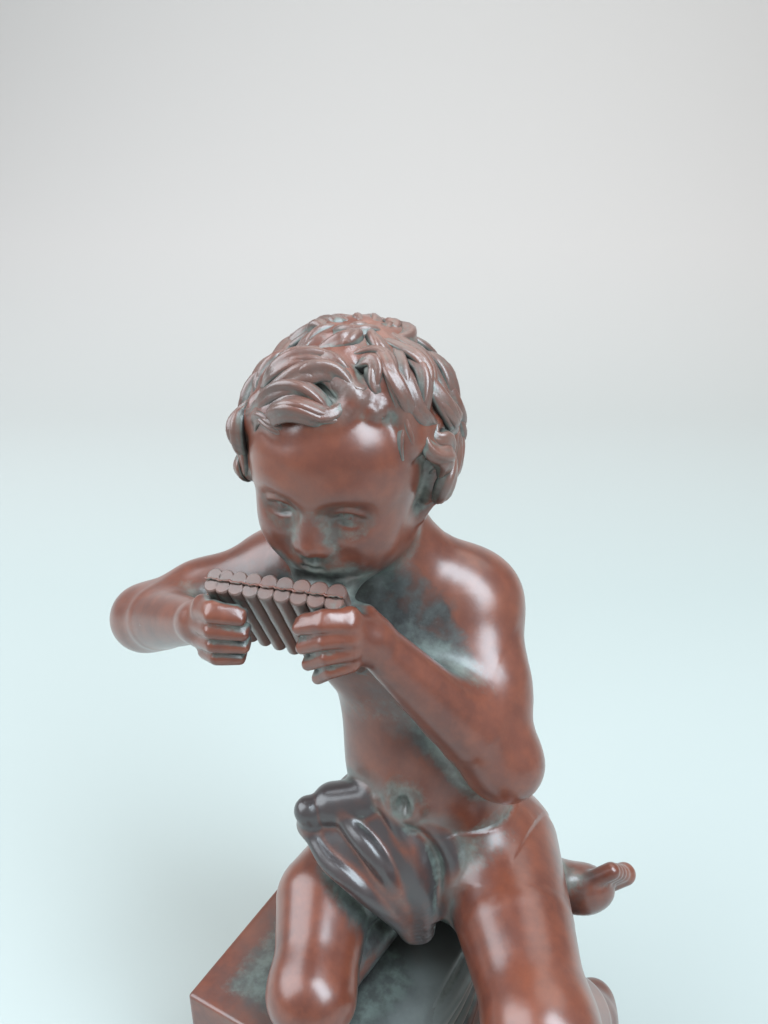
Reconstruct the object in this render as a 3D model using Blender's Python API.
# A seated child faun playing the panpipes, cast in one piece with its block and low base.
# The figure is built up like a clay model: rounded forms are added to a field of
# distances, blended where flesh meets flesh, and the field is skinned as one body.
# Units are metres, +Z is up and the block's front face looks along -Y.
import math

import bpy
import numpy as np

# Driving dimensions, in metres
HEAD_HEIGHT = 0.070
SKULL_HEIGHT = 0.061
BLOCK_WIDTH = 0.065
BLOCK_DEPTH = 0.092
BLOCK_HEIGHT = 0.0595
BASE_WIDTH = 0.124
BASE_DEPTH = 0.110
BASE_HEIGHT = 0.0085
BASE_CORNER = 0.012
EDGE_ROUNDING = 0.0012
REED_DIAMETER = 0.0042
REED_COUNT = 9
REED_GROWTH = 1.15
RAFT_WIDTH = 0.0355
SHORT_REED = 0.0285
LONG_REED = 0.0385
SWAG_COUNT = 5

# How the clay is skinned
CELL = 0.0013
TRIANGLE_BUDGET = 9400
FAR = 1.0

# Where the block stands on the base, whose centre is the origin
BLOCK_LEFT = -BASE_WIDTH / 2 + 0.010
BLOCK_CENTRE_X = BLOCK_LEFT + BLOCK_WIDTH / 2
BLOCK_FRONT_Y = -BASE_DEPTH / 2 + 0.010
BLOCK_TOP = BASE_HEIGHT + BLOCK_HEIGHT
BLOCK_RIGHT = BLOCK_CENTRE_X + BLOCK_WIDTH / 2


def seat(x, y, z):
    """A place in head heights from the middle of the block's top front edge."""
    return np.array([BLOCK_CENTRE_X + x * HEAD_HEIGHT, BLOCK_FRONT_Y + y * HEAD_HEIGHT,
                     BLOCK_TOP + z * HEAD_HEIGHT])


def floor(x, y, z):
    """The same, but with its height counted from the base's top."""
    return np.array([BLOCK_CENTRE_X + x * HEAD_HEIGHT, BLOCK_FRONT_Y + y * HEAD_HEIGHT,
                     BASE_HEIGHT + z * HEAD_HEIGHT])


def heads(*shares):
    """Lengths given in head heights, in metres."""
    return np.array(shares) * HEAD_HEIGHT


def skulls(*shares):
    """Lengths given in heights of the head without its hair, in metres."""
    return np.array(shares) * SKULL_HEIGHT


def facing(yaw, pitch, roll=0.0):
    """Rows: a form's left, front and up. It faces -Y, turns to +X by yaw and bows by pitch."""
    yaw, pitch, roll = (math.radians(angle) for angle in (yaw, pitch, roll))
    left = np.array([math.cos(yaw), math.sin(yaw), 0.0])
    level = np.array([math.sin(yaw), -math.cos(yaw), 0.0])
    front = level * math.cos(pitch) - np.array([0, 0, math.sin(pitch)])
    up = level * math.sin(pitch) + np.array([0, 0, math.cos(pitch)])
    tilted_left = left * math.cos(roll) - up * math.sin(roll)
    tilted_up = left * math.sin(roll) + up * math.cos(roll)
    return np.array([tilted_left, front, tilted_up])


class Clay:
    """Forms to add and cut, then a grid of signed distances, big enough for them all."""

    def __init__(self):
        self.steps = []

    def add(self, form, blend=0.0):
        """Join a form to the clay, filling the seam by about the blend, in head heights."""
        self.steps.append((form, blend * HEAD_HEIGHT, 1))

    def cut(self, form, blend=0.0):
        """Take a form out of the clay."""
        self.steps.append((form, blend * HEAD_HEIGHT, -1))

    def fill(self, cell):
        """Lay out the grid around every added form and work the steps through in order."""
        margin = 4 * cell
        low = np.min([form[1] for form, blend, sign in self.steps if sign > 0], axis=0) - margin
        high = np.max([form[2] for form, blend, sign in self.steps if sign > 0], axis=0) + margin
        low[2] = -margin
        counts = np.ceil((high - low) / cell).astype(int) + 1
        self.cell = cell
        self.axes = [(l + cell * np.arange(n)).astype(np.float32) for l, n in zip(low, counts)]
        self.field = np.full(counts, FAR, np.float32)
        for form, blend, sign in self.steps:
            self.work(form, blend, sign)
        self.field = np.maximum(self.field, -self.axes[2][None, None, :])

    def window(self, low, high):
        """The part of the grid inside a box, and its three coordinate arrays."""
        slices = []
        for axis, l, h in zip(self.axes, low, high):
            first = max(0, int(np.searchsorted(axis, l)) - 1)
            last = min(len(axis), int(np.searchsorted(axis, h)) + 1)
            slices.append(slice(first, max(first, last)))
        x, y, z = (axis[s] for axis, s in zip(self.axes, slices))
        return tuple(slices), (x[:, None, None], y[None, :, None], z[None, None, :])

    def work(self, form, blend, sign):
        distance, low, high = form
        margin = blend + 2 * self.cell
        where, grid = self.window(low - margin, high + margin)
        old = self.field[where]
        if old.size:
            new = np.broadcast_to(distance(*grid), old.shape)
            self.field[where] = sign * soft_min(sign * old, new, blend)


def soft_min(a, b, blend):
    if blend <= 0:
        return np.minimum(a, b)
    reach = np.maximum(blend - np.abs(a - b), 0) / blend
    return np.minimum(a, b) - reach * reach * blend / 4


def ball(centre, radii, turn=None):
    """An ellipsoid whose axes are the rows of turn."""
    turn = np.eye(3) if turn is None else turn
    reach = np.sqrt(((turn * np.array(radii)[:, None]) ** 2).sum(0))

    def distance(x, y, z):
        offset = (x - centre[0], y - centre[1], z - centre[2])
        outer = 0
        inner = 0
        for row, radius in zip(turn, radii):
            along = row[0] * offset[0] + row[1] * offset[1] + row[2] * offset[2]
            outer = outer + (along / radius) ** 2
            inner = inner + (along / radius ** 2) ** 2
        outer = np.sqrt(outer)
        return outer * (outer - 1) / np.sqrt(np.maximum(inner, 1e-6))

    return distance, centre - reach, centre + reach


def limb(start, end, start_radius, end_radius, flat=1.0, across=None):
    """A tapering rod with round ends; flat thins it along the direction across."""
    start, end = np.array(start), np.array(end)
    axis = end - start
    length_squared = max(float(axis @ axis), 1e-12)
    thick = max(start_radius, end_radius)

    def distance(x, y, z):
        dx, dy, dz = x - start[0], y - start[1], z - start[2]
        along = np.clip((dx * axis[0] + dy * axis[1] + dz * axis[2]) / length_squared, 0, 1)
        dx, dy, dz = dx - along * axis[0], dy - along * axis[1], dz - along * axis[2]
        squared = dx * dx + dy * dy + dz * dz
        if across is not None:
            side = dx * across[0] + dy * across[1] + dz * across[2]
            squared = squared + side * side * (1 / flat ** 2 - 1)
        return np.sqrt(squared) - (start_radius + (end_radius - start_radius) * along)

    return distance, np.minimum(start, end) - thick, np.maximum(start, end) + thick


def rope(points, radii, flat=1.0, across=None):
    """A limb through several points, with a radius at each."""
    rods = [limb(points[i], points[i + 1], radii[i], radii[i + 1], flat, across)
            for i in range(len(points) - 1)]

    def distance(x, y, z):
        nearest = rods[0][0](x, y, z)
        for rod in rods[1:]:
            nearest = np.minimum(nearest, rod[0](x, y, z))
        return nearest

    low = np.min([rod[1] for rod in rods], axis=0)
    high = np.max([rod[2] for rod in rods], axis=0)
    return distance, low, high


def slab(low, high, rounding, corner=0.0):
    """A box between two corners; corner rounds its upright edges in plan."""
    centre = (np.array(low) + np.array(high)) / 2
    half = (np.array(high) - np.array(low)) / 2

    def distance(x, y, z):
        plan_x = np.abs(x - centre[0]) - half[0] + max(corner, rounding)
        plan_y = np.abs(y - centre[1]) - half[1] + max(corner, rounding)
        plan = (np.hypot(np.maximum(plan_x, 0), np.maximum(plan_y, 0))
                + np.minimum(np.maximum(plan_x, plan_y), 0) - max(corner, rounding))
        tall = np.abs(z - centre[2]) - half[2]
        outside = np.hypot(np.maximum(plan + rounding, 0), np.maximum(tall + rounding, 0))
        return outside + np.minimum(np.maximum(plan, tall) + rounding, 0) - rounding

    return distance, np.array(low), np.array(high)


def bend(points, steps):
    """A smooth curve through the points, with so many steps from one to the next."""
    points = np.array(points, float)
    padded = np.vstack([2 * points[0] - points[1], points, 2 * points[-1] - points[-2]])
    curve = []
    for i in range(len(points) - 1):
        a, b, c, d = padded[i:i + 4]
        for t in np.arange(steps) / steps:
            curve.append(0.5 * (2 * b + (c - a) * t + (2 * a - 5 * b + 4 * c - d) * t ** 2
                                + (3 * b - a - 3 * c + d) * t ** 3))
    curve.append(points[-1])
    return np.array(curve)


# The pose: the figure's joints
BODY = facing(11, 4)
HEAD = facing(11, 7, 3)
HEAD_CENTRE = seat(-0.048, 0.690, 2.258)
CHEST = seat(0.085, 0.92, 1.34)
BELLY = seat(0.225, 0.84, 0.86)
PELVIS = seat(0.235, 0.90, 0.42)
SHOULDERS = {"left": seat(0.300, 1.040, 1.590), "right": seat(-0.517, 0.869, 1.58)}
ELBOWS = {"left": seat(0.606, 0.742, 1.13), "right": seat(-0.998, 0.540, 1.41)}
WRISTS = {"left": seat(0.214, 0.407, 1.747), "right": seat(-0.437, 0.271, 1.697)}
HIPS = {"left": seat(0.51, 0.96, 0.44), "right": seat(0.05, 0.87, 0.42)}
KNEES = {"left": seat(0.98, 0.27, 0.42), "right": seat(0.10, 0.13, 0.23)}


def head_place(left, front, up):
    """A place in skull heights from the head's centre, along the head's own axes."""
    return HEAD_CENTRE + skulls(left, front, up) @ HEAD


def add_base(clay):
    half = (BASE_WIDTH / 2, BASE_DEPTH / 2)
    clay.add(slab((-half[0], -half[1], -BASE_HEIGHT), (half[0], half[1], BASE_HEIGHT),
                  EDGE_ROUNDING, BASE_CORNER))
    clay.add(slab((BLOCK_LEFT, BLOCK_FRONT_Y, 0),
                  (BLOCK_RIGHT, BLOCK_FRONT_Y + BLOCK_DEPTH, BLOCK_TOP), EDGE_ROUNDING))


def add_side_cloth(clay):
    """Cloth slipped off the seat: long shallow folds down the block's right side."""
    for row in range(SWAG_COUNT):
        sag = 0.06 + 0.125 * row
        line = []
        for t in np.linspace(0, 1, 10):
            hang = math.sin(math.pi * t) ** 0.8
            place = seat(0, 0.26 - 0.02 * row + (0.80 + 0.03 * row) * t, -0.02 - sag * hang)
            place[0] = BLOCK_RIGHT + (0.004 + 0.035 * hang * math.sin(1.2 + 1.3 * row) ** 2) * HEAD_HEIGHT
            line.append(place)
        clay.add(rope(line, np.full(len(line), 0.040) * HEAD_HEIGHT), 0.043)


def add_torso(clay):
    clay.add(ball(PELVIS, heads(0.42, 0.29, 0.32), BODY))
    clay.add(ball(BELLY, heads(0.345, 0.265, 0.36), BODY), 0.229)
    clay.add(ball(CHEST, heads(0.335, 0.255, 0.42), facing(11, 6, -12)), 0.257)
    clay.add(ball(seat(-0.07, 0.95, 1.56), heads(0.38, 0.19, 0.19), facing(11, 0, 2)), 0.2)
    for side in (-1, 1):
        breast = CHEST + heads(0.165 * side, 0.165, 0.10) @ BODY
        clay.add(ball(breast, heads(0.15, 0.10, 0.12), BODY), 0.171)
        seat_ball = PELVIS + heads(0.20 * side, -0.14, -0.16) @ BODY
        clay.add(ball(seat_ball, heads(0.23, 0.22, 0.24), BODY), 0.143)
        blade = CHEST + heads(0.19 * side, -0.17, 0.16) @ BODY
        clay.add(ball(blade, heads(0.14, 0.09, 0.17), BODY), 0.171)
    navel = BELLY + heads(-0.02, 0.285, 0.06) @ BODY
    clay.cut(ball(navel, heads(0.030, 0.05, 0.040), BODY), 0.057)
    spine = bend([CHEST + heads(0.0, -0.30, 0.22) @ BODY, CHEST + heads(0.02, -0.29, -0.1) @ BODY,
                  BELLY + heads(0, -0.29, 0) @ BODY, PELVIS + heads(0, -0.34, 0.0) @ BODY], 4)
    clay.cut(rope(spine, [0.0018] * len(spine)), 0.071)
    nape = head_place(0, -0.12, -0.16)
    clay.add(limb(seat(-0.08, 0.94, 1.58), nape, 0.185 * HEAD_HEIGHT, 0.170 * HEAD_HEIGHT), 0.171)
    for side in SHOULDERS.values():
        clay.add(limb(nape - heads(0, 0, 0.12), side + heads(0, 0.02, 0.03),
                      0.125 * HEAD_HEIGHT, 0.115 * HEAD_HEIGHT), 0.2)


def add_arm(clay, side):
    shoulder, elbow, wrist = SHOULDERS[side], ELBOWS[side], WRISTS[side]
    clay.add(ball(shoulder, heads(0.170, 0.165, 0.170)), 0.171)
    clay.add(limb(shoulder, elbow, 0.160 * HEAD_HEIGHT, 0.112 * HEAD_HEIGHT), 0.143)
    muscle = shoulder * 0.45 + elbow * 0.55 + heads(0, -0.02, 0.02)
    clay.add(ball(muscle, heads(0.135, 0.135, 0.135)), 0.171)
    clay.add(ball(elbow, heads(0.115, 0.12, 0.115)), 0.086)
    belly = elbow * 0.72 + wrist * 0.28
    clay.add(rope([elbow, belly, wrist], heads(0.108, 0.128, 0.078)), 0.114)


def add_leg_tucked(clay):
    """The right leg: the knee at the block's front edge, the shin folded back beneath."""
    hip, knee = HIPS["right"], KNEES["right"]
    middle = hip * 0.45 + knee * 0.55 + heads(-0.14, 0, 0.005)
    clay.add(rope([hip, middle, knee], heads(0.235, 0.208, 0.160)), 0.171)
    clay.add(ball(knee + heads(-0.01, -0.02, 0), heads(0.165, 0.15, 0.15)), 0.080)
    ankle = seat(0.46, 1.02, 0.15)
    shin = [seat(0.07, 0.17, 0.13), seat(0.01, 0.42, 0.125), seat(0.06, 0.70, 0.13), ankle]
    clay.add(rope(shin, heads(0.125, 0.190, 0.165, 0.095), 0.66, np.array([0.0, 0.0, 1.0])), 0.020)
    add_foot(clay, ankle, seat(0.44, 1.10, 0.24), seat(0.85, 1.20, 0.17), seat(1.02, 1.30, 0.285),
             np.array([-0.35, 0.75, 0.55]), 1.25)


def add_leg_hanging(clay):
    """The left leg: the thigh off the block's side, the foot drawn back on its toes."""
    hip, knee = HIPS["left"], KNEES["left"]
    middle = hip * 0.5 + knee * 0.5 + heads(0, 0, 0.03)
    clay.add(rope([hip, middle, knee], heads(0.285, 0.230, 0.180)), 0.171)
    clay.add(ball(knee, heads(0.175, 0.185, 0.18)), 0.114)
    ankle = floor(1.00, 1.02, 0.44)
    calf = knee * 0.62 + ankle * 0.38 + heads(0, 0.05, 0)
    clay.add(rope([knee, calf, ankle], heads(0.145, 0.172, 0.100)), 0.114)
    add_foot(clay, ankle, floor(0.985, 1.15, 0.40), floor(1.03, 0.93, 0.10),
             floor(1.05, 0.78, 0.055), np.array([0.0, 0.9, 0.45]), 1.0)


def add_foot(clay, ankle, heel, sole_ball, toe_tips, sole_side, plump):
    """A child's foot from its heel to five toes that lie side by side."""
    clay.add(ball(ankle, heads(0.098, 0.098, 0.098)), 0.057)
    clay.add(rope([ankle, heel], plump * heads(0.085, 0.088)), 0.071)
    run = (toe_tips - heel) / np.linalg.norm(toe_tips - heel)
    across = np.cross(run, sole_side)
    across = across / np.linalg.norm(across)
    normal = np.cross(across, run)
    clay.add(rope([heel, heel * 0.45 + sole_ball * 0.55, sole_ball], plump * heads(0.085, 0.080, 0.115),
                  0.62, normal), 0.086)
    clay.add(rope([ankle, sole_ball], plump * heads(0.085, 0.075)), 0.114)
    for toe in range(5):
        spread = (toe - 2) * 0.048 * plump * HEAD_HEIGHT
        root = sole_ball + across * spread * 0.9
        reach = 1.0 - 0.09 * toe
        tip = sole_ball + (toe_tips - sole_ball) * reach + across * spread
        radius = (0.042 if toe == 0 else 0.031) * plump * HEAD_HEIGHT
        clay.add(limb(root, tip, radius, radius), 0.021)


def add_head(clay):
    clay.add(ball(head_place(0, -0.03, 0.12), skulls(0.345, 0.415, 0.350), HEAD), 0.086)
    clay.add(ball(head_place(0, 0.13, -0.10), skulls(0.275, 0.235, 0.330), HEAD), 0.143)
    clay.add(ball(head_place(0, 0.17, 0.13), skulls(0.285, 0.225, 0.230), HEAD), 0.143)
    for side in (-1, 1):
        jaw_corner = head_place(0.205 * side, 0.03, -0.22)
        chin = head_place(0.03 * side, 0.285, -0.385)
        clay.add(limb(jaw_corner, chin, 0.085 * SKULL_HEIGHT, 0.070 * SKULL_HEIGHT), 0.114)
        clay.add(ball(head_place(0.155 * side, 0.245, -0.17), skulls(0.11, 0.10, 0.125), HEAD), 0.114)
    clay.add(ball(head_place(0, 0.305, -0.405), skulls(0.080, 0.070, 0.065), HEAD), 0.086)
    for side in (-1, 1):
        clay.cut(ball(head_place(0.130 * side, 0.405, -0.015), skulls(0.085, 0.065, 0.050), HEAD), 0.086)
        clay.add(ball(head_place(0.128 * side, 0.300, -0.030), skulls(0.070, 0.068, 0.052), HEAD), 0.014)
    bridge = [head_place(0, 0.345, 0.02), head_place(0, 0.385, -0.09), head_place(0, 0.425, -0.165)]
    clay.add(rope(bridge, skulls(0.030, 0.034, 0.044)), 0.071)
    for side in (-1, 1):
        clay.add(ball(head_place(0.042 * side, 0.385, -0.178), skulls(0.032, 0.036, 0.028), HEAD), 0.043)
    clay.add(ball(head_place(0, 0.345, -0.265), skulls(0.090, 0.050, 0.060), HEAD), 0.071)
    clay.add(ball(head_place(0, 0.378, -0.252), skulls(0.075, 0.026, 0.019), HEAD), 0.029)
    clay.add(ball(head_place(0, 0.366, -0.292), skulls(0.058, 0.028, 0.021), HEAD), 0.029)
    for side in (-1, 1):
        add_ear(clay, side)


def add_ear(clay, side):
    """A faun's leaf ear, half under the hair and ending in a soft point."""
    lobe = head_place(0.325 * side, 0.00, -0.18)
    middle = head_place(0.365 * side, -0.03, -0.08)
    tip = head_place(0.430 * side, -0.10, 0.03)
    clay.add(rope([lobe, middle, tip], skulls(0.036, 0.066, 0.022), 0.6, HEAD[0]), 0.043)


def hair_point(turn, rise, lift):
    """A place over the scalp: turn from the front to the left, rise above level, in degrees."""
    turn, rise = math.radians(turn), math.radians(rise)
    return head_place((0.345 + lift) * math.cos(rise) * math.sin(turn),
                      -0.03 + (0.415 + lift) * math.cos(rise) * math.cos(turn),
                      0.12 + (0.350 + lift) * math.sin(rise))


def add_lock(clay, path, thick, lift):
    """One lock of hair along a path of (turn, rise) places over the scalp."""
    line = bend([hair_point(turn, rise, 0) for turn, rise in path], 3)
    t = np.linspace(0, 1, len(line))
    outward = line - hair_point(0, 90, -0.35)
    outward = outward / np.linalg.norm(outward, axis=1)[:, None]
    raised = lift * (0.55 + 0.55 * np.sin(math.pi * (t * 0.9 + 0.1)))
    radii = thick * (0.42 + 0.58 * np.sin(math.pi * (0.12 + t * 0.82)) ** 0.8)
    clay.add(rope(line + outward * raised[:, None] * SKULL_HEIGHT, radii * SKULL_HEIGHT), 0.034)


# The locks that frame the face: (turn, rise) places in degrees, the radius and the lift
FACE_LOCKS = [
    ([(-66, 36), (-44, 47), (-18, 55), (8, 56), (30, 49), (42, 40), (34, 35)], 0.066, 0.040),
    ([(-70, 44), (-46, 57), (-18, 65), (14, 64), (36, 56)], 0.058, 0.034),
    ([(-60, 20), (-38, 32), (-12, 38), (10, 40), (28, 43)], 0.056, 0.040),
    ([(-64, 12), (-48, 22), (-26, 28), (-4, 30)], 0.040, 0.030),
    ([(150, 66), (100, 80), (20, 80), (-20, 72), (-44, 60)], 0.062, 0.030),
    ([(170, 60), (-160, 72), (-110, 76), (-80, 64), (-66, 50)], 0.054, 0.014),
    ([(126, 72), (96, 68), (70, 66), (58, 56), (60, 46)], 0.056, 0.030),
    ([(118, 70), (92, 60), (78, 46), (70, 30), (76, 16), (88, 10)], 0.062, 0.030),
    ([(128, 60), (106, 50), (92, 34), (88, 16), (98, 4), (112, 6)], 0.066, 0.040),
    ([(132, 46), (114, 32), (104, 14), (104, -4), (114, -16)], 0.064, 0.048),
    ([(78, 20), (74, 8), (80, -6), (92, -12)], 0.054, 0.055),
    ([(100, 6), (88, -8), (84, -20), (90, -32)], 0.058, 0.060),
    ([(118, 2), (106, -12), (100, -26), (106, -38)], 0.060, 0.055),
    ([(-120, 62), (-94, 54), (-78, 42), (-70, 28), (-76, 16)], 0.052, 0.018),
    ([(-130, 50), (-106, 40), (-88, 26), (-78, 10), (-84, -4)], 0.060, 0.036),
    ([(-130, 34), (-110, 20), (-94, 6), (-84, -10), (-92, -22)], 0.066, 0.056),
    ([(-66, 24), (-66, 10), (-72, -4), (-84, -8)], 0.050, 0.060),
    ([(-112, 4), (-98, -10), (-90, -24), (-96, -36)], 0.062, 0.064),
    ([(120, 72), (84, 66), (66, 52), (58, 38), (57, 24), (60, 12)], 0.050, 0.034),
    ([(150, 70), (104, 66), (84, 52), (76, 38), (72, 26), (66, 16)], 0.050, 0.044),
    ([(20, 72), (40, 66), (50, 56), (50, 46), (42, 38)], 0.046, 0.044),
    ([(-70, 6), (-66, -6), (-66, -18), (-74, -30)], 0.046, 0.060),
    ([(-150, 70), (170, 84), (100, 76), (62, 68)], 0.050, 0.030)]

# The tiers of locks round the back: top and bottom rise, how many, and the radius
BACK_TIERS = [(76, 46, 7, 0.056), (52, 22, 9, 0.062), (28, -4, 9, 0.066), (4, -30, 9, 0.060)]


def add_hair(clay):
    """A mop of thick waving locks: those round the face by hand, the rest in tiers."""
    clay.add(ball(head_place(0, -0.085, 0.16), skulls(0.365, 0.395, 0.345), HEAD), 0.043)
    for path, thick, lift in FACE_LOCKS:
        add_lock(clay, path, thick, lift)
    for tier, (top, bottom, count, thick) in enumerate(BACK_TIERS):
        for i in range(count):
            turn = 128 + 104 * (i + 0.5 * (tier % 2)) / (count - 0.5)
            path = [(turn + 9 * math.sin(2.2 * k + turn), rise)
                    for k, rise in enumerate(np.linspace(top, bottom, 5))]
            add_lock(clay, path, thick, 0.036)


def raft_frame():
    """The panpipes' axes: along the rim, down the reeds and out of their front."""
    rim_start, rim_end = seat(-0.361, 0.245, 1.929), seat(0.139, 0.365, 1.929)
    along = (rim_end - rim_start) / np.linalg.norm(rim_end - rim_start)
    middle = (rim_start + rim_end) / 2
    down = np.array([-0.103, 0.53, -0.84])
    down = down - along * (down @ along)
    down = down / np.linalg.norm(down)
    return middle, along, down, np.cross(along, down)


def add_panpipes(clay):
    """A raft of reeds, side by side, that grow longer and thicker to the player's left."""
    middle, along, down, front = raft_frame()
    width = RAFT_WIDTH - REED_DIAMETER
    for i in range(REED_COUNT):
        share = i / (REED_COUNT - 1)
        top = middle + along * (share ** REED_GROWTH - 0.5) * width
        length = SHORT_REED + (LONG_REED - SHORT_REED) * share
        radius = REED_DIAMETER * (0.42 + 0.10 * share)
        clay.add(limb(top, top + down * length, radius, radius))
        behind = top - front * REED_DIAMETER * 0.6
        clay.add(limb(behind, behind + down * length, radius, radius))


def add_hand_left(clay):
    """The left hand: the thumb behind the pipes, the fingers fanned over their front."""
    wrist = WRISTS["left"]
    knuckles = [(0.182, 0.320, 1.876), (0.192, 0.315, 1.826), (0.191, 0.318, 1.772),
                (0.185, 0.330, 1.715)]
    joints = [(0.118, 0.262, 1.882), (0.126, 0.258, 1.822), (0.130, 0.266, 1.754),
              (0.136, 0.288, 1.682)]
    tips = [(0.024, 0.262, 1.842), (0.038, 0.262, 1.766), (0.056, 0.276, 1.688),
            (0.086, 0.306, 1.612)]
    add_fingers(clay, wrist, knuckles, joints, tips)
    clay.add(rope([seat(0.215, 0.40, 1.77), seat(0.17, 0.44, 1.82), seat(0.08, 0.42, 1.83)],
                  heads(0.045, 0.036, 0.030)), 0.043)


def add_hand_right(clay):
    """The right hand: four fingers stacked across the short end of the pipes."""
    wrist = WRISTS["right"]
    knuckles = [(-0.383, 0.238, 1.806), (-0.392, 0.234, 1.746), (-0.390, 0.236, 1.686),
                (-0.384, 0.250, 1.630)]
    joints = [(-0.290, 0.190, 1.838), (-0.294, 0.186, 1.776), (-0.298, 0.194, 1.714),
              (-0.300, 0.210, 1.652)]
    tips = [(-0.200, 0.232, 1.826), (-0.196, 0.238, 1.764), (-0.208, 0.250, 1.702),
            (-0.238, 0.258, 1.640)]
    add_fingers(clay, wrist, knuckles, joints, tips)
    clay.add(rope([seat(-0.42, 0.30, 1.73), seat(-0.40, 0.36, 1.78), seat(-0.31, 0.37, 1.80)],
                  heads(0.045, 0.036, 0.030)), 0.043)


def add_fingers(clay, wrist, knuckles, joints, tips):
    """Four fingers, cast solid down to the reeds behind them."""
    behind = -0.036 * HEAD_HEIGHT * raft_frame()[3]
    for knuckle, joint, tip in zip(knuckles, joints, tips):
        knuckle, joint, tip = seat(*knuckle), seat(*joint), seat(*tip)
        clay.add(rope([wrist, knuckle], heads(0.052, 0.032)), 0.050)
        clay.add(rope([knuckle + behind, joint + behind, tip + behind], heads(0.028, 0.026, 0.022)), 0.011)
        clay.add(rope([knuckle, joint, tip], heads(0.030, 0.028, 0.023)), 0.011)


# The loincloth's sheets and pleats: a path in head heights, the widest radius and the flatness
CLOTH_FOLDS = [
    ([(-0.115, 0.485, 0.715), (0.050, 0.470, 0.690), (0.150, 0.460, 0.640), (0.225, 0.480, 0.550),
      (0.275, 0.520, 0.420), (0.305, 0.580, 0.235)], 0.086, 0.38),
    ([(0.073, 0.596, 0.832), (0.173, 0.561, 0.762), (0.253, 0.551, 0.652), (0.308, 0.566, 0.492),
      (0.338, 0.581, 0.262)], 0.090, 0.40),
    ([(0.130, 0.670, 0.840), (0.250, 0.665, 0.740), (0.330, 0.670, 0.600), (0.370, 0.665, 0.460),
      (0.358, 0.645, 0.300)], 0.070, 0.40),
    ([(-0.100, 0.440, 0.690), (0.003, 0.403, 0.634), (0.111, 0.396, 0.594), (0.198, 0.421, 0.512),
      (0.263, 0.481, 0.382), (0.303, 0.560, 0.212)], 0.042, 1.0),
    ([(-0.030, 0.480, 0.750), (0.060, 0.432, 0.695), (0.150, 0.418, 0.645), (0.222, 0.436, 0.555),
      (0.275, 0.482, 0.425), (0.306, 0.560, 0.228)], 0.020, 1.0),
    ([(-0.005, 0.514, 0.814), (0.077, 0.478, 0.767), (0.164, 0.455, 0.727), (0.231, 0.458, 0.646),
      (0.277, 0.484, 0.514), (0.311, 0.553, 0.248)], 0.046, 1.0),
    ([(0.088, 0.566, 0.862), (0.168, 0.528, 0.792), (0.245, 0.514, 0.690), (0.305, 0.528, 0.522),
      (0.337, 0.561, 0.274)], 0.026, 1.0),
    ([(0.145, 0.589, 0.873), (0.237, 0.568, 0.773), (0.305, 0.570, 0.652), (0.355, 0.579, 0.497),
      (0.362, 0.582, 0.318)], 0.030, 1.0),
    ([(0.152, 0.603, 0.887), (0.281, 0.616, 0.843), (0.378, 0.634, 0.779), (0.443, 0.636, 0.683),
      (0.469, 0.626, 0.587), (0.455, 0.606, 0.472), (0.413, 0.585, 0.366)], 0.034, 1.0)]


def add_loincloth(clay):
    """A cloth knotted at the right hip: it lies over the lap in pleats and ends in a corner."""
    knot = seat(-0.045, 0.555, 0.775)
    over_thigh = np.array([0.25, -0.75, 0.61])
    clay.add(ball(knot, heads(0.096, 0.090, 0.094)), 0.020)
    for tail_end, side in ((seat(-0.150, 0.460, 0.800), 0.066), (seat(-0.135, 0.480, 0.700), 0.056)):
        clay.add(rope([knot, tail_end], heads(0.040, side), 0.62, over_thigh), 0.020)
    clay.add(rope([seat(0.04, 0.60, 0.66), seat(0.19, 0.58, 0.50), seat(0.305, 0.590, 0.205)],
                  heads(0.125, 0.135, 0.06)), 0.057)
    for fold, widest, flatness in CLOTH_FOLDS:
        line = bend([seat(*place) for place in fold], 4)
        width = widest * (0.50 + 0.50 * np.sin(np.linspace(0.35, math.pi - 0.15, len(line))))
        clay.add(rope(line, width * HEAD_HEIGHT, flatness, over_thigh), 0.020)
    belt = [knot]
    for turn in np.radians(np.linspace(-62, -205, 14)):
        belt.append(PELVIS + heads(0.405 * math.sin(turn), 0.30 * math.cos(turn),
                                   0.26 - 0.12 * math.sin(turn / 2) ** 2) @ BODY)
    width = np.append(0.055, np.linspace(0.050, 0.020, len(belt) - 1))
    clay.add(rope(belt, width * HEAD_HEIGHT), 0.057)


def model_statue(clay):
    add_torso(clay)
    add_leg_tucked(clay)
    add_leg_hanging(clay)
    add_base(clay)
    add_side_cloth(clay)
    add_loincloth(clay)
    for side in ("left", "right"):
        add_arm(clay, side)
    add_panpipes(clay)
    add_hand_left(clay)
    add_hand_right(clay)
    add_head(clay)
    add_hair(clay)


def spread(solid):
    """The solid with one more layer of cells at its front and its back."""
    grown = solid.copy()
    grown[:, 1:] |= solid[:, :-1]
    grown[:, :-1] |= solid[:, 1:]
    return grown


def close_cracks(field, cell):
    """Fill the cracks that are too thin for a mould, such as behind a finger on a reed."""
    solid = field < 0
    closed = ~spread(~spread(solid))
    field[closed & ~solid] = -0.30 * cell


def settle(field, cell):
    """Fill the cells whose corners meet only across a diagonal: they would pinch the skin."""
    slight = -0.02 * cell
    for _ in range(12):
        inside = field < 0
        pinched = np.zeros(field.shape, bool)
        for a, b in ((0, 1), (0, 2), (1, 2)):
            near, far_a, far_b, far_both = [corner_slices(a, b, i, j)
                                            for i, j in ((0, 0), (1, 0), (0, 1), (1, 1))]
            first = inside[near] & inside[far_both] & ~inside[far_a] & ~inside[far_b]
            second = ~inside[near] & ~inside[far_both] & inside[far_a] & inside[far_b]
            checker = first | second
            for corner in (near, far_a, far_b, far_both):
                pinched[corner] |= checker
        pinched &= ~inside
        if not pinched.any():
            return
        field[pinched] = slight


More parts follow.
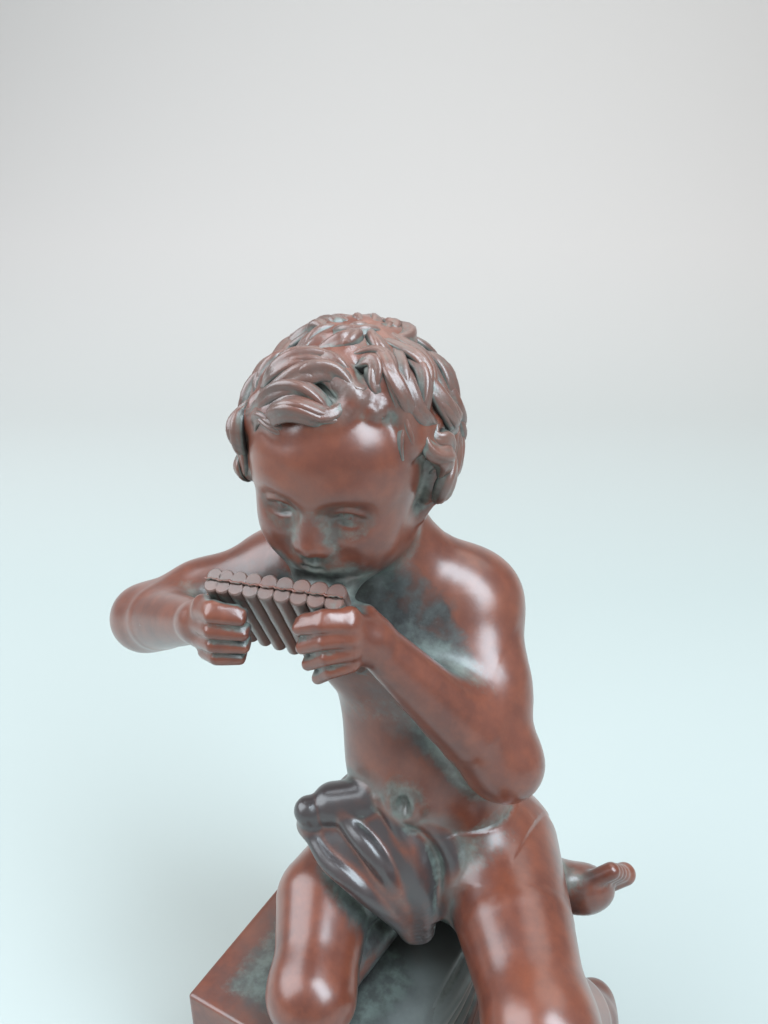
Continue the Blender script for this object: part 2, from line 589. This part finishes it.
def corner_slices(a, b, step_a, step_b):
    where = [slice(None)] * 3
    where[a] = slice(step_a, None if step_a else -1)
    where[b] = slice(step_b, None if step_b else -1)
    return tuple(where)


def skin(clay):
    """Vertices and quads of the field's zero surface: one vertex in each cell it crosses."""
    field, cell = clay.field, clay.cell
    inside = field < 0
    corners = [(i, j, k) for i in (0, 1) for j in (0, 1) for k in (0, 1)]
    size = np.array(field.shape) - 1
    count = np.zeros(size, np.int8)
    for i, j, k in corners:
        count += inside[i:i + size[0], j:j + size[1], k:k + size[2]]
    active = (count > 0) & (count < 8)
    places = np.argwhere(active)
    index = np.full(size, -1, np.int32)
    index[active] = np.arange(len(places))
    values = {c: field[places[:, 0] + c[0], places[:, 1] + c[1], places[:, 2] + c[2]]
              for c in corners}
    total = np.zeros((len(places), 3))
    crossed = np.zeros(len(places))
    for a in corners:
        for axis in range(3):
            if a[axis]:
                continue
            b = tuple(1 if n == axis else a[n] for n in range(3))
            cut = (values[a] < 0) != (values[b] < 0)
            gap = np.where(cut, values[a] - values[b], 1)
            share = np.clip(values[a] / gap, 0.02, 0.98)
            point = np.repeat(np.array(a, float)[None], len(places), 0)
            point[:, axis] = share
            total[cut] += point[cut]
            crossed[cut] += 1
    origin = np.array([axis[0] for axis in clay.axes])
    vertices = origin + cell * (places + total / crossed[:, None])
    quads = []
    for axis in range(3):
        b, c = (axis + 1) % 3, (axis + 2) % 3
        ahead = np.roll(inside, -1, axis)
        change = inside != ahead
        keep = [slice(1, -1)] * 3
        keep[axis] = slice(0, -1)
        grid = np.zeros(field.shape, bool)
        grid[tuple(keep)] = change[tuple(keep)]
        spots = np.argwhere(grid)
        ring = []
        for step_b, step_c in ((0, 0), (-1, 0), (-1, -1), (0, -1)):
            spot = spots.copy()
            spot[:, b] += step_b
            spot[:, c] += step_c
            ring.append(index[spot[:, 0], spot[:, 1], spot[:, 2]])
        quad = np.stack(ring, 1)
        outward = inside[spots[:, 0], spots[:, 1], spots[:, 2]]
        quad[~outward] = quad[~outward][:, ::-1]
        quads.append(quad)
    return vertices, np.vstack(quads)


def largest_piece(vertices, quads):
    """Drop any crumb that isn't joined to the body."""
    label = np.arange(len(vertices))
    while True:
        lowest = label[quads].min(1)
        new = label.copy()
        for corner in range(4):
            np.minimum.at(new, quads[:, corner], lowest)
        new = new[new]
        if (new == label).all():
            break
        label = new
    names, sizes = np.unique(label[quads[:, 0]], return_counts=True)
    quads = quads[label[quads[:, 0]] == names[sizes.argmax()]]
    used, flat = np.unique(quads, return_inverse=True)
    return vertices[used], flat.reshape(quads.shape)


def cast_material():
    material = bpy.data.materials.new("cast_resin")
    material.use_nodes = True
    shader = material.node_tree.nodes["Principled BSDF"]
    shader.inputs["Base Color"].default_value = (0.135, 0.045, 0.030, 1)
    shader.inputs["Roughness"].default_value = 0.32
    shader.inputs["Metallic"].default_value = 0.15
    return material


def main():
    for item in list(bpy.data.objects):
        bpy.data.objects.remove(item)
    clay = Clay()
    model_statue(clay)
    clay.fill(CELL)
    close_cracks(clay.field, CELL)
    settle(clay.field, CELL)
    vertices, quads = largest_piece(*skin(clay))
    mesh = bpy.data.meshes.new("faun_statue")
    mesh.from_pydata(vertices.tolist(), [], quads.tolist())
    mesh.materials.append(cast_material())
    mesh.shade_smooth()
    statue = bpy.data.objects.new("faun_statue", mesh)
    bpy.context.scene.collection.objects.link(statue)
    thin = statue.modifiers.new("Decimate", "DECIMATE")
    thin.ratio = TRIANGLE_BUDGET / (2 * len(quads))


main()
